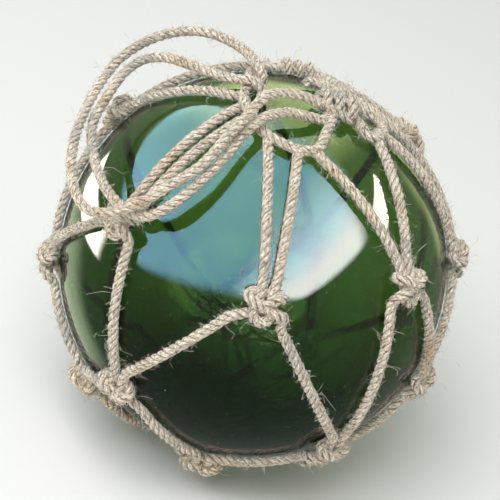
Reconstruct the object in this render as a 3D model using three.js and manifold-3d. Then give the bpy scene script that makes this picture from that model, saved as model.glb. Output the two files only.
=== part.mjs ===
// Glass float ball: a sealed green glass ball in a knotted rope net, with a doubled rope hanging loop.
// Millimetres, +Z up. The net's crown is on top, and the float stands on the rope ring below it.

import * as THREE from 'three';
import { mergeVertices } from 'three/addons/utils/BufferGeometryUtils.js';
import Module from 'manifold-3d';

// Driving dimensions.
const glassDiameter = 150;
const ropeDiameter = 4;
const gap = 0.3; // left between pieces that touch
const facetAllowance = 0.55; // how far a straight facet dips below its arc
const knotSize = { wide: 18, high: 12, thick: 8 };
const crownKnotSize = { wide: 12, high: 14, thick: 9 };
const knotLift = 0.2; // how far a knot's lump stands off its gap
const footPolar = 164; // where the ring below the ball lies, in degrees from the crown
const footHookSpread = 11; // half the way between a pair of ropes at the foot ring, in degrees
const ropesIntoKnot = { apart: 2.4, above: 3.5 }; // half the way between them, and how far over its middle
const ropesOutOfKnot = { apart: 4.6, below: 3 };

// Sizes that follow from them.
const glassRadius = glassDiameter / 2;
const ropeRadius = ropeDiameter / 2;
const ropeHeight = gap + facetAllowance + ropeRadius; // a rope's middle over the glass
const knotHeight = gap + knotLift + knotSize.thick / 2;
const crownKnotHeight = gap + knotLift + crownKnotSize.thick / 2;
const degreesPerMm = 180 / (Math.PI * (glassRadius + ropeHeight));
const besideRing = (ropeDiameter + gap) * degreesPerMm; // from a ring to the end of a rope that hooks on it

// A place is [azimuth, polar] in degrees: azimuth from the front, -Y, towards +X, and polar from the crown.
// The net is hand-knotted and uneven, so each of its 21 knots has its own place.
const knotRows = [
  [[6, 67], [53, 62], [96, 72], [133, 47.5], [195, 65], [258, 61], [316, 65]],
  [[43, 118], [74, 102], [114, 108], [164, 110], [227, 105], [284, 100], [332.5, 110.5]],
  [[4, 141], [60, 138], [94, 140], [139, 142], [195, 142], [256, 140], [311, 127]],
];

// How far the middle of some slack ropes lies to the right of the straight way down, in mm, for the
// left and the right rope of each pair.
const bows = {
  toTopFromHook: { left: [0, -5, 0, 0, 0, 0, 0], right: [1, 0, 0, 0, 0, 0, 3] },
  toMiddle: { left: [-8, 0, 0, 0, 0, 0, -1.5], right: [0, 0, 0, 0, 0, 0, 1.5] },
};

// The crown ring's rope runs through these places, and through the crown knot.
const crownKnotPlace = [73, 9];
const crownRingPlaces = [
  [298, 18], [318, 19.5], [338, 22], [6, 23], [19, 21.5], [38, 14], crownKnotPlace,
  [132, 13], [158, 21], [182, 25.5], [214, 26.5], [238, 21], [259, 16.5], [280, 16],
];
const crownSpurPlace = [98, 19.5]; // a doubled stretch of the ring's rope reaches out to here

// Where each pair of top ropes hooks on the ring: [azimuth, polar, half the pair's width in degrees].
const crownHooks = [[14, 27, 8], [98, 24.5, 7], [139, 21.5, 10], [184, 30, 8], [216, 31, 8],
  [297, 22.5, 8], [331, 26, 12]];

// The hanging loop's two ropes, each from the crown knot to the ring: [azimuth, polar, mm over the glass].
const outerLoopRoute = [
  [23, 9, 7.5], [1, 9.5, 9.5], [343, 11, 10.5], [332, 13.5, 11], [328, 16.5, 11.5], [329, 20.5, 11.5],
  [331, 25, 11.5], [332, 32, 12], [332, 42, 13], [328, 50.5, 14.5], [325, 56, 15.5], [321, 60.5, 15.5],
  [318, 63.5, 18], [314, 65, 19.5], [308, 64.5, 19.5], [300, 63, 18.5], [290, 60, 17.5],
  [282, 57.5, 17], [275, 55, 17.5], [267, 52.5, 18.5], [259, 49.5, 20], [252, 45.5, 20.5],
  [246, 41.5, 20], [242, 36.5, 18.5], [239, 31.5, 16], [239, 26, 13], [242, 20, 10], [255, 14.5, 7.5],
];
const innerLoopRoute = [
  [25, 11.5, 3], [7, 12.5, 4.5], [351, 14, 6], [342, 17, 7], [337, 19.5, 7.5], [335, 22.5, 7.5],
  [334, 27.5, 7.5], [335, 35.5, 8], [334, 44.5, 9.5], [331, 53, 11], [327, 58, 11], [322, 60, 11],
  [316, 60.5, 11], [310, 60.5, 10.5], [302, 60, 10], [294, 59, 10.5], [286, 58, 11.5],
  [280, 56.5, 12.5], [273, 53.5, 13], [267, 50.5, 14.5], [262, 48, 15.5], [258, 44.5, 15.5],
  [258, 39, 13.5], [262, 32.5, 10], [270, 25.5, 7.5], [278, 21, 7], [284, 18, 7.2],
];

// How finely the round shapes are cut.
const glassSides = 30;
const footSides = 28;
const netRopeSides = 6;
const ringSides = 8;
const stepDegrees = 14; // a net rope bends once in this many degrees round the ball
const crownRingSteps = 32;
const loopSteps = 33;
const knotFineness = 1; // how often an icosahedron's faces are split for a knot
const weldDistance = 1e-4;

// Colours from the real piece.
const glassMaterial = new THREE.MeshStandardMaterial({ color: 0x2c6b35, roughness: 0.04, metalness: 0 });
const ropeMaterial = new THREE.MeshStandardMaterial({ color: 0xc9b99b, roughness: 0.95, metalness: 0 });

const radians = THREE.MathUtils.degToRad;

// A point over the ball, measured from the ball's centre.
function overBall([azimuth, polar], height) {
  const radius = glassRadius + height;
  const out = radius * Math.sin(radians(polar));
  return new THREE.Vector3(
    out * Math.sin(radians(azimuth)),
    -out * Math.cos(radians(azimuth)),
    radius * Math.cos(radians(polar)),
  );
}

// A place moved along the glass, in mm to the right and in mm down from the crown.
function beside([azimuth, polar], right, down) {
  const turn = right * degreesPerMm / Math.sin(radians(polar));
  return [azimuth + turn, polar + down * degreesPerMm];
}

// The shortest way round the ball between two places, as a curve at rope height. A slack rope's
// middle lies some mm to the right of it.
function aroundBall(from, to, bow = 0) {
  const start = overBall(from, ropeHeight);
  const end = overBall(to, ropeHeight);
  const angle = start.angleTo(end);
  const right = start.clone().cross(end).normalize();
  const steps = Math.max(2, Math.round(THREE.MathUtils.radToDeg(angle) / stepDegrees));
  const points = [];
  for (let i = 0; i <= steps; i += 1) {
    const share = i / steps;
    const point = start.clone().multiplyScalar(Math.sin((1 - share) * angle));
    point.addScaledVector(end, Math.sin(share * angle)).divideScalar(Math.sin(angle));
    point.addScaledVector(right, Math.sin(share * Math.PI) * bow);
    points.push(point.setLength(glassRadius + ropeHeight));
  }
  return { curve: new THREE.CatmullRomCurve3(points), steps };
}

// A polygon with one flat side down, whose corners lie on a circle.
function roundSection(radius, sides) {
  const corners = [];
  for (let i = 0; i < sides; i += 1) {
    const angle = (i + 0.5) * 2 * Math.PI / sides;
    corners.push(new THREE.Vector2(radius * Math.sin(angle), -radius * Math.cos(angle)));
  }
  return corners;
}

function ropeAlong(curve, steps, sides) {
  const section = new THREE.Shape(roundSection(ropeRadius, sides));
  return new THREE.ExtrudeGeometry(section, { extrudePath: curve, steps, bevelEnabled: false });
}

// A knot is a rounded lump, wider than high, that lies on the glass.
function knotAt(place, size, height) {
  const lump = new THREE.IcosahedronGeometry(0.5, knotFineness);
  lump.scale(size.wide, size.high, size.thick);
  const middle = overBall(place, height);
  const outwards = middle.clone().normalize();
  const right = new THREE.Vector3(0, 0, 1).cross(outwards).normalize();
  const up = outwards.clone().cross(right);
  const turn = new THREE.Matrix4().makeBasis(right, up, outwards).setPosition(middle);
  return lump.applyMatrix4(turn);
}

const wasm = await Module();
wasm.setup();

function toSolid(geometry) {
  const bare = geometry.clone();
  bare.deleteAttribute('normal');
  bare.deleteAttribute('uv');
  const welded = mergeVertices(bare, weldDistance);
  return new wasm.Manifold(new wasm.Mesh({
    numProp: 3,
    vertProperties: new Float32Array(welded.attributes.position.array),
    triVerts: new Uint32Array(welded.index.array),
  }));
}

function fuse(geometries) {
  let whole = toSolid(geometries[0]);
  for (const geometry of geometries.slice(1)) {
    whole = whole.add(toSolid(geometry));
  }
  const { vertProperties, triVerts } = whole.getMesh();
  const fused = new THREE.BufferGeometry();
  fused.setAttribute('position', new THREE.BufferAttribute(new Float32Array(vertProperties), 3));
  fused.setIndex(new THREE.BufferAttribute(new Uint32Array(triVerts), 1));
  fused.computeVertexNormals();
  return fused;
}

function glassBall() {
  return new THREE.SphereGeometry(glassRadius, glassSides, glassSides * 2 / 3).rotateX(Math.PI / 2);
}

// Ropes enter a knot side by side from above, and leave it further apart below.
function intoKnot(place, side) {
  return beside(place, side * ropesIntoKnot.apart, -ropesIntoKnot.above);
}

function outOfKnot(place, side) {
  return beside(place, side * ropesOutOfKnot.apart, ropesOutOfKnot.below);
}

// The net: a pair of ropes from each knot to the two nearest knots of the next row down.
function net() {
  const pieces = [];
  const addRope = (from, to, bow = 0) => {
    const { curve, steps } = aroundBall(from, to, bow);
    pieces.push(ropeAlong(curve, steps, netRopeSides));
  };
  const columns = knotRows[0].length;
  const [top, middle, low] = knotRows;
  for (let i = 0; i < columns; i += 1) {
    const next = (i + 1) % columns;
    const before = (i + columns - 1) % columns;
    const [azimuth, polar, half] = crownHooks[i];
    addRope([azimuth - half, polar], intoKnot(top[i], 1), bows.toTopFromHook.left[i]);
    addRope([azimuth + half, polar], intoKnot(top[next], -1), bows.toTopFromHook.right[i]);
    addRope(outOfKnot(top[i], 1), intoKnot(middle[i], -1), bows.toMiddle.right[i]);
    addRope(outOfKnot(top[next], -1), intoKnot(middle[i], 1), bows.toMiddle.left[i]);
    addRope(outOfKnot(middle[before], 1), intoKnot(low[i], -1));
    addRope(outOfKnot(middle[i], -1), intoKnot(low[i], 1));
    addRope(outOfKnot(low[i], 1), footHook(i, -1));
    addRope(outOfKnot(low[next], -1), footHook(i, 1));
  }
  for (const place of knotRows.flat()) {
    pieces.push(knotAt(place, knotSize, knotHeight));
  }
  return fuse(pieces);
}

// Where the ropes below the last row end, beside the foot ring, in pairs between two knots.
function footHook(i, side) {
  const low = knotRows[2];
  const here = low[i][0];
  const ahead = low[(i + 1) % low.length][0];
  const between = here + ((ahead - here + 360) % 360) / 2;
  return [between + side * footHookSpread, footPolar - besideRing];
}

// The crown ring: one rope gathered round the crown, its knot, and the doubled spur on the right.
function crownRing() {
  const ringPoints = crownRingPlaces.map((place) => overBall(place, ropeHeight));
  const ringCurve = new THREE.CatmullRomCurve3(ringPoints, true);
  const spur = aroundBall(crownKnotPlace, crownSpurPlace);
  return fuse([
    closedRope(ringCurve, crownRingSteps, ringSides),
    ropeAlong(spur.curve, spur.steps, ringSides),
    knotAt(crownKnotPlace, crownKnotSize, crownKnotHeight),
  ]);
}

// A rope whose two ends meet, as rings of corners that stand square to the ball.
function closedRope(curve, steps, sides) {
  const section = roundSection(ropeRadius, sides);
  const positions = [];
  const index = [];
  for (let i = 0; i < steps; i += 1) {
    const middle = curve.getPoint(i / steps);
    const outwards = middle.clone().normalize();
    const across = outwards.clone().cross(curve.getTangent(i / steps)).normalize();
    const away = curve.getTangent(i / steps).cross(across).normalize();
    for (let j = 0; j < sides; j += 1) {
      const corner = middle.clone().addScaledVector(across, section[j].x).addScaledVector(away, section[j].y);
      positions.push(corner.x, corner.y, corner.z);
      const here = i * sides + j;
      const beyond = i * sides + (j + 1) % sides;
      const ahead = ((i + 1) % steps) * sides + j;
      const aheadBeyond = ((i + 1) % steps) * sides + (j + 1) % sides;
      index.push(here, beyond, aheadBeyond, here, aheadBeyond, ahead);
    }
  }
  const rope = new THREE.BufferGeometry();
  rope.setAttribute('position', new THREE.Float32BufferAttribute(positions, 3));
  rope.setIndex(index);
  return rope;
}

// The foot ring closes the net below the ball, and its flat underside is what the float stands on.
function footRing() {
  const middle = overBall([0, footPolar], ropeHeight);
  const outline = roundSection(ropeRadius, ringSides);
  outline.push(outline[0]);
  const profile = outline.map((corner) => new THREE.Vector2(corner.x - middle.y, corner.y + middle.z));
  return new THREE.LatheGeometry(profile, footSides).rotateX(Math.PI / 2);
}

function loopRope(route) {
  const points = route.map(([azimuth, polar, height]) => overBall([azimuth, polar], height));
  return ropeAlong(new THREE.CatmullRomCurve3(points), loopSteps, ringSides);
}

function piece(name, geometry, material) {
  const mesh = new THREE.Mesh(geometry, material);
  mesh.name = name;
  return mesh;
}

const held = new THREE.Group();
held.add(
  piece('glass_ball', glassBall(), glassMaterial),
  piece('rope_net', net(), ropeMaterial),
  piece('crown_ring', crownRing(), ropeMaterial),
  piece('foot_ring', footRing(), ropeMaterial),
);

// The origin is under the middle of the ball and its net, on what the float stands on.
const standing = new THREE.Box3().setFromObject(held, true);
const middle = standing.getCenter(new THREE.Vector3());
held.add(
  piece('hanging_loop_outer', loopRope(outerLoopRoute), ropeMaterial),
  piece('hanging_loop_inner', loopRope(innerLoopRoute), ropeMaterial),
);
held.position.set(-middle.x, -middle.y, -standing.min.z);

const floatBall = new THREE.Group();
floatBall.add(held);
floatBall.updateMatrixWorld(true);

export default floatBall;
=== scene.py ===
# %% [markdown]
# A glass float ball in a rope net, made in steps. Every size is in metres and every place is in the
# CAD model's own frame, so a piece goes where the CAD says. The first cell loads that frame and keeps
# the box of the CAD model.

# %% Load the frame
import math

import bmesh
import bpy
import numpy as np
from mathutils import Matrix, Vector, noise


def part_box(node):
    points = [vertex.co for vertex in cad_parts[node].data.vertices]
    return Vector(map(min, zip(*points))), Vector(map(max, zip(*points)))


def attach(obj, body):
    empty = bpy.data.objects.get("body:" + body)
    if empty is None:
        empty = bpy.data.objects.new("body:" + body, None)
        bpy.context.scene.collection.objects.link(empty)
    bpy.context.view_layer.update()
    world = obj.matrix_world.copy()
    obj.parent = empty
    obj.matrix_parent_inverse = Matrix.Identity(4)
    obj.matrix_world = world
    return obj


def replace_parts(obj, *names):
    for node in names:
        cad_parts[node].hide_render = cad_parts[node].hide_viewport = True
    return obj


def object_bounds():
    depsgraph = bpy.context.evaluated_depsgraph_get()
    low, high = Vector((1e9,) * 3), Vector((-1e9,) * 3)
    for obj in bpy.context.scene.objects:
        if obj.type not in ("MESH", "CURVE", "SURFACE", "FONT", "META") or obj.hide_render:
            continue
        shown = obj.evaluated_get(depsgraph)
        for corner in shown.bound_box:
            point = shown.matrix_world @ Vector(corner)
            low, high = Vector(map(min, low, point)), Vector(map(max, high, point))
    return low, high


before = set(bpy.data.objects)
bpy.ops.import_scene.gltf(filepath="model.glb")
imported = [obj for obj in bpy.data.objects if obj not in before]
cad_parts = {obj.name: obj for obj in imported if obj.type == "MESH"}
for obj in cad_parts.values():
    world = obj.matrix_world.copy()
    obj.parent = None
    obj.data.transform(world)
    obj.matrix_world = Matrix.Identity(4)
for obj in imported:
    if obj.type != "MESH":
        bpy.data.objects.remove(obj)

cad_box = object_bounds()
MM = 0.001

# %% [markdown]
# The ball is the carrier of everything else, so its middle and radius are read from the frame. A place
# on it is an azimuth from the front, where the camera stands, and a polar angle from the crown, both in
# degrees, with a height over the glass. All the ropes are laid out with one small function for that.

# %% Measure the ball
ball_low, ball_high = (Vector(corner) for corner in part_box("glass_ball"))
GLASS_RADIUS = (ball_high.z - ball_low.z) / 2
BALL_MIDDLE = (ball_low + ball_high) / 2
ROPE_DIAMETER = 4 * MM
ROPE_RADIUS = ROPE_DIAMETER / 2
print("glass radius", round(GLASS_RADIUS, 4), "middle", [round(c, 4) for c in BALL_MIDDLE])


def over_ball(azimuth, polar, height):
    """The point at that azimuth and polar angle, some metres over the glass."""
    around, down = math.radians(azimuth), math.radians(polar)
    radius = GLASS_RADIUS + height
    direction = Vector(
        (math.sin(down) * math.sin(around), -math.sin(down) * math.cos(around), math.cos(down))
    )
    return BALL_MIDDLE + direction * radius


# %% [markdown]
# The camera comes next, because the cords are tested against what it sees. The photo was taken with a
# longish lens from about a third of the way up over the net's equator, with the crown leaning to the
# right. The model stands upright, so the camera rolls instead.

# %% Set the camera
CAMERA_ELEVATION = 32.3  # degrees over the equator
CAMERA_ROLL = 17.3  # degrees anticlockwise
CAMERA_DISTANCE = 9 * GLASS_RADIUS
PICTURE_PIXELS = 500
SILHOUETTE_PIXELS = 194  # the ball's radius in the picture
BALL_PIXEL = (253, 264.5)  # its middle in the picture
SENSOR_WIDTH = 36
NEAREST_SEEN = 0.01

focal_pixels = SILHOUETTE_PIXELS * math.sqrt((CAMERA_DISTANCE / GLASS_RADIUS) ** 2 - 1)
camera_data = bpy.data.cameras.new("camera")
camera_data.sensor_width = SENSOR_WIDTH
camera_data.lens = focal_pixels * SENSOR_WIDTH / PICTURE_PIXELS
camera_data.clip_start = NEAREST_SEEN
camera = bpy.data.objects.new("camera", camera_data)
bpy.context.scene.collection.objects.link(camera)
tilt = Matrix.Rotation(math.radians(90 - CAMERA_ELEVATION), 3, "X")
turn = tilt @ Matrix.Rotation(math.radians(CAMERA_ROLL), 3, "Z")
half = PICTURE_PIXELS / 2
ball_seen = Vector((BALL_PIXEL[0] - half, half - BALL_PIXEL[1], -focal_pixels))
camera_place = BALL_MIDDLE - turn @ (ball_seen * CAMERA_DISTANCE / focal_pixels)
camera.matrix_world = Matrix.Translation(camera_place) @ turn.to_4x4()
bpy.context.scene.camera = camera
print("lens", round(camera_data.lens, 1), "mm, camera at", [round(c, 3) for c in camera_place])

# %% [markdown]
# A rope follows a smooth curve through a few places. A centripetal Catmull-Rom curve passes through all
# of them without loops between close points, and it is the curve that the CAD tubes follow. The result
# is thinned to even steps, so that later steps can count on them.

# %% Curves through points
EVEN_STEP = 0.85 * MM
STEPS_BETWEEN = 24  # fine steps from one given point to the next, before the thinning
SHORTEST_GAP = 1e-9
FEWEST_STEPS = 4


def root_gap(a, b):
    return max(np.linalg.norm(b - a), SHORTEST_GAP) ** 0.5


def centripetal(before, start, end, after):
    """Points of one stretch of a centripetal Catmull-Rom curve, from start up to end."""
    first, middle, last = root_gap(before, start), root_gap(start, end), root_gap(end, after)
    leave = (start - before) / first - (end - before) / (first + middle) + (end - start) / middle
    arrive = (end - start) / middle - (after - start) / (middle + last) + (after - end) / last
    leave *= middle
    arrive *= middle
    t = np.linspace(0, 1, STEPS_BETWEEN, endpoint=False)[:, None]
    square = 3 * (end - start) - 2 * leave - arrive
    cube = 2 * (start - end) + leave + arrive
    return start + leave * t + square * t**2 + cube * t**3


def smooth_line(points, closed=False):
    """An even line of points along the smooth curve through the given ones."""
    p = np.array([tuple(q) for q in points])
    count = len(p)
    pieces = []
    for i in range(count if closed else count - 1):
        start, end = p[i], p[(i + 1) % count]
        before = p[i - 1] if closed or i > 0 else 2 * start - end
        after = p[(i + 2) % count] if closed or i + 2 < count else 2 * end - start
        pieces.append(centripetal(before, start, end, after))
    fine = np.vstack(pieces + [p[:1] if closed else p[-1:]])
    along = np.concatenate([[0], np.cumsum(np.linalg.norm(np.diff(fine, axis=0), axis=1))])
    steps = max(FEWEST_STEPS, round(along[-1] / EVEN_STEP))
    at = np.linspace(0, along[-1], steps + 1)
    even = np.stack([np.interp(at, along, fine[:, k]) for k in range(3)], axis=1)
    return even[:-1] if closed else even


def line_length(line, closed=False):
    ends = np.vstack([line, line[:1]]) if closed else line
    return float(np.linalg.norm(np.diff(ends, axis=0), axis=1).sum())


print("a smooth line has a point every", EVEN_STEP / MM, "mm or so")

# %% [markdown]
# The hanging loop is a doubled rope. Both ropes leave the crown knot, run over the left shoulder of the
# ball, cross there, and spring back up in two arcs to the crown ring. The routes are the CAD model's
# own, point for point.

# %% Lay out the hanging loop
OUTER_LOOP_ROUTE = [
    (23, 9, 7.5), (1, 9.5, 9.5), (343, 11, 10.5), (332, 13.5, 11), (328, 16.5, 11.5), (329, 20.5, 11.5),
    (331, 25, 11.5), (332, 32, 12), (332, 42, 13), (328, 50.5, 14.5), (325, 56, 15.5), (321, 60.5, 15.5),
    (318, 63.5, 18), (314, 65, 19.5), (308, 64.5, 19.5), (300, 63, 18.5), (290, 60, 17.5),
    (282, 57.5, 17), (275, 55, 17.5), (267, 52.5, 18.5), (259, 49.5, 20), (252, 45.5, 20.5),
    (246, 41.5, 20), (242, 36.5, 18.5), (239, 31.5, 16), (239, 26, 13), (242, 20, 10), (255, 14.5, 7.5),
]
INNER_LOOP_ROUTE = [
    (25, 11.5, 3), (7, 12.5, 4.5), (351, 14, 6), (342, 17, 7), (337, 19.5, 7.5), (335, 22.5, 7.5),
    (334, 27.5, 7.5), (335, 35.5, 8), (334, 44.5, 9.5), (331, 53, 11), (327, 58, 11), (322, 60, 11),
    (316, 60.5, 11), (310, 60.5, 10.5), (302, 60, 10), (294, 59, 10.5), (286, 58, 11.5),
    (280, 56.5, 12.5), (273, 53.5, 13), (267, 50.5, 14.5), (262, 48, 15.5), (258, 44.5, 15.5),
    (258, 39, 13.5), (262, 32.5, 10), (270, 25.5, 7.5), (278, 21, 7), (284, 18, 7.2),
]


def placed(route):
    """The points of a route, whose places are an azimuth, a polar angle and a height in millimetres."""
    return [over_ball(azimuth, polar, height * MM) for azimuth, polar, height in route]


outer_line = smooth_line(placed(OUTER_LOOP_ROUTE))
inner_line = smooth_line(placed(INNER_LOOP_ROUTE))
print("hanging loop ropes, in metres:", [round(line_length(line), 3) for line in (outer_line, inner_line)])

# %% [markdown]
# The next cells build small node trees in the script. A few helpers keep that short: they make a tree
# with named inputs, add a node and plug values or other nodes into it, keep a value on every point, end
# a tree, and run a finished tree on an object to get back a plain mesh.

# %% Helpers for node trees


def new_tree(name, inputs):
    """A geometry node tree with these named inputs: name to (socket type, default)."""
    tree = bpy.data.node_groups.new(name, "GeometryNodeTree")
    tree.interface.new_socket(name="Geometry", in_out="INPUT", socket_type="NodeSocketGeometry")
    for label, (kind, default) in inputs.items():
        socket = tree.interface.new_socket(name=label, in_out="INPUT", socket_type=kind)
        if default is not None:
            socket.default_value = default
    tree.interface.new_socket(name="Geometry", in_out="OUTPUT", socket_type="NodeSocketGeometry")
    return tree, tree.nodes.new("NodeGroupInput").outputs


def add(tree, kind, inputs=None, **settings):
    """A new node, with its settings, and its inputs by name or number."""
    node = tree.nodes.new(kind)
    for name, value in settings.items():
        setattr(node, name, value)
    for key, value in (inputs or {}).items():
        if isinstance(value, bpy.types.NodeSocket):
            tree.links.new(value, node.inputs[key])
        else:
            node.inputs[key].default_value = value
    return node


def maths(tree, operation, *values):
    return add(tree, "ShaderNodeMath", dict(enumerate(values)), operation=operation).outputs[0]


def vectors(tree, operation, *values):
    node = add(tree, "ShaderNodeVectorMath", dict(enumerate(values)), operation=operation)
    return node.outputs["Value" if operation in ("LENGTH", "DOT_PRODUCT") else "Vector"]


def scaled(tree, vector, factor):
    return add(tree, "ShaderNodeVectorMath", {0: vector, "Scale": factor}, operation="SCALE").outputs[0]


def noisy(tree, place, fineness, detail):
    """Noise round 0.5 at a place. A higher fineness makes smaller spots."""
    inputs = {"Vector": place, "Scale": fineness, "Detail": detail}
    return add(tree, "ShaderNodeTexNoise", inputs).outputs[0]


def store(tree, geometry, name, value, kind="FLOAT_VECTOR"):
    """Keeps a value on every point, as a named attribute."""
    inputs = {"Geometry": geometry, "Name": name, "Value": value}
    return add(tree, "GeometryNodeStoreNamedAttribute", inputs, data_type=kind, domain="POINT").outputs[0]


def stored(tree, name, kind="FLOAT_VECTOR"):
    return add(tree, "GeometryNodeInputNamedAttribute", {"Name": name}, data_type=kind).outputs[0]


def end_tree(tree, geometry, material):
    """Ends a tree in real geometry, not instances, with its material."""
    real = add(tree, "GeometryNodeRealizeInstances", {"Geometry": geometry})
    painted = add(tree, "GeometryNodeSetMaterial", {"Geometry": real.outputs[0], "Material": material})
    add(tree, "NodeGroupOutput", {0: painted.outputs[0]})


def run_tree(source, tree, values, name):
    """Runs the tree on the source object and returns the result as an object with a plain mesh."""
    modifier = source.modifiers.new(tree.name, "NODES")
    modifier.node_group = tree
    for socket in tree.interface.items_tree:
        if socket.in_out == "INPUT" and socket.name in values:
            modifier[socket.identifier] = values[socket.name]
    bpy.context.view_layer.update()
    evaluated = source.evaluated_get(bpy.context.evaluated_depsgraph_get())
    mesh = bpy.data.meshes.new_from_object(evaluated)
    source.modifiers.remove(modifier)
    made = bpy.data.objects.new(name, mesh)
    bpy.context.scene.collection.objects.link(made)
    return made


print("the helpers for node trees are ready")

# %% [markdown]
# Real jute rope is three strands laid round each other. A smooth tube with a bump would look wrong at
# its outline, so each strand is its own tube along a helix. The tree copies the middle line three
# times, moves each copy out from the middle by an angle that grows with the length, and sweeps a circle
# along it. It also stores three attributes: how deep a point lies in the grooves and where it is in its
# own strand, both for the material, and which way the strand runs, for the loose fibres.

# %% The parts of the twisted rope tree
LAY_LENGTH = 9.2 * MM  # one full turn of a strand
STRAND_SHARE = 0.54  # a strand's diameter as a share of the rope's
STRAND_SIDES = 8
STRANDS = 3
UNEVENNESS = 0.12  # how far the yarn bulges, as a share of the rope's radius
LUMP_FINENESS = 620.0
FULL_TURN = 2 * math.pi
# The attributes that only the tree itself needs, which it removes at its end.
SPENT = ("core", "strand_middle", "strand_up", "strand_side", "strand_along", "strand_length", "cut_end")


def laid_strands(tree, given, position, strand_radius):
    """Helical copies of the rope's middle line, which keep where each of their points lies."""
    length = add(tree, "GeometryNodeSplineParameter").outputs["Length"]
    copies = add(tree, "GeometryNodeDuplicateElements", {
        "Geometry": store(tree, given["Geometry"], "core", position), "Amount": STRANDS,
    }, domain="SPLINE")
    strand_turn = maths(tree, "MULTIPLY", copies.outputs["Duplicate Index"], FULL_TURN / STRANDS)
    turned = maths(tree, "MULTIPLY", maths(tree, "DIVIDE", length, given["Lay Length"]), FULL_TURN)
    angle = maths(tree, "ADD", maths(tree, "ADD", turned, strand_turn), given["Start Angle"])
    normal = add(tree, "GeometryNodeInputNormal").outputs["Normal"]
    tangent = add(tree, "GeometryNodeInputTangent").outputs[0]
    side = vectors(tree, "CROSS_PRODUCT", tangent, normal)
    out = vectors(
        tree, "ADD",
        scaled(tree, normal, maths(tree, "COSINE", angle)),
        scaled(tree, side, maths(tree, "SINE", angle)),
    )
    spread = maths(tree, "SUBTRACT", given["Rope Radius"], strand_radius)
    strands = add(tree, "GeometryNodeSetPosition", {
        "Geometry": copies.outputs["Geometry"], "Offset": scaled(tree, out, spread),
    }).outputs[0]
    for name, value in (
        ("strand_middle", position), ("strand_up", normal), ("strand_side", side), ("strand_along", tangent),
    ):
        strands = store(tree, strands, name, value)
    ends = add(tree, "GeometryNodeCurveEndpointSelection").outputs[0]
    strands = store(tree, strands, "cut_end", ends, "FLOAT")
    return store(tree, strands, "strand_length", length, "FLOAT")


def strand_tubes(tree, given, strands, position, strand_radius):
    """A tube along each strand. Its points move in or out a little, because yarn is uneven."""
    profile = add(tree, "GeometryNodeCurvePrimitiveCircle", {
        "Resolution": STRAND_SIDES, "Radius": strand_radius,
    })
    swept = add(tree, "GeometryNodeCurveToMesh", {
        "Curve": strands, "Profile Curve": profile.outputs[0], "Fill Caps": True,
    })
    shift = add(tree, "ShaderNodeCombineXYZ", {0: given["Seed"]}).outputs[0]
    lumps = noisy(tree, vectors(tree, "ADD", position, shift), LUMP_FINENESS, 2.0)
    swell = maths(tree, "MULTIPLY", maths(tree, "SUBTRACT", lumps, 0.5), given["Unevenness"])
    away = add(tree, "GeometryNodeInputNormal").outputs["Normal"]
    bulge = scaled(tree, away, maths(tree, "MULTIPLY", swell, given["Rope Radius"]))
    return add(tree, "GeometryNodeSetPosition", {
        "Geometry": swept.outputs[0], "Offset": bulge,
    }).outputs[0]


def marked(tree, given, tubes, position):
    """Stores what the material and the fibres use: the groove, the grain and the way a strand lies."""
    # A cut end is as pale as the outside, so it counts as outside although it reaches the core, and gets
    # none of the painted groove shade.
    from_core = vectors(tree, "LENGTH", vectors(tree, "SUBTRACT", position, stored(tree, "core")))
    share = maths(tree, "DIVIDE", from_core, given["Rope Radius"])
    depth = maths(tree, "MAXIMUM", share, stored(tree, "cut_end", "FLOAT"))
    from_strand = vectors(tree, "SUBTRACT", position, stored(tree, "strand_middle"))
    grain = add(tree, "ShaderNodeCombineXYZ", {
        0: vectors(tree, "DOT_PRODUCT", from_strand, stored(tree, "strand_up")),
        1: vectors(tree, "DOT_PRODUCT", from_strand, stored(tree, "strand_side")),
        2: stored(tree, "strand_length", "FLOAT"),
    })
    grooved = store(tree, tubes, "groove", depth, "FLOAT")
    grained = store(tree, grooved, "grain", grain.outputs[0])
    return store(tree, grained, "lie", stored(tree, "strand_along"))


# %% Put the rope tree together


def twisted_rope_tree():
    tree, given = new_tree("twisted rope", {
        "Rope Radius": ("NodeSocketFloat", ROPE_RADIUS),
        "Lay Length": ("NodeSocketFloat", LAY_LENGTH),
        "Start Angle": ("NodeSocketFloat", 0.0),
        "Unevenness": ("NodeSocketFloat", UNEVENNESS),
        "Seed": ("NodeSocketFloat", 0.0),
        "Material": ("NodeSocketMaterial", None),
    })
    strand_radius = maths(tree, "MULTIPLY", given["Rope Radius"], STRAND_SHARE)
    position = add(tree, "GeometryNodeInputPosition").outputs[0]
    strands = laid_strands(tree, given, position, strand_radius)
    tubes = strand_tubes(tree, given, strands, position, strand_radius)
    last = marked(tree, given, tubes, position)
    for name in SPENT:
        last = add(tree, "GeometryNodeRemoveAttribute", {"Geometry": last, "Name": name}).outputs[0]
    smooth = add(tree, "GeometryNodeSetShadeSmooth", {"Geometry": last})
    end_tree(tree, smooth.outputs[0], given["Material"])
    return tree


rope_tree = twisted_rope_tree()
print("twisted rope tree:", len(rope_tree.nodes), "nodes")

# %% [markdown]
# Old jute is pale beige, greyer or pinker in places and tan in others. The grooves between strands get
# painted shade, dark brown and nearly black deepest in. The fibres run nearly straight along the rope,
# so the streaks use the stored strand coordinates, turned back against the lay. A weak sheen stands for
# the fuzz that is too fine to model.

# %% Rope and fibre materials


def shader(name):
    material = bpy.data.materials.new(name)
    material.use_nodes = True
    return material, material.node_tree, material.node_tree.nodes["Principled BSDF"]


def ramp(tree, factor, stops):
    node = add(tree, "ShaderNodeValToRGB", {"Fac": factor})
    while len(node.color_ramp.elements) < len(stops):
        node.color_ramp.elements.new(0.5)
    for element, (at, colour) in zip(node.color_ramp.elements, stops):
        element.position = at
        element.color = (*colour, 1)
    return node.outputs[0]


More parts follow.
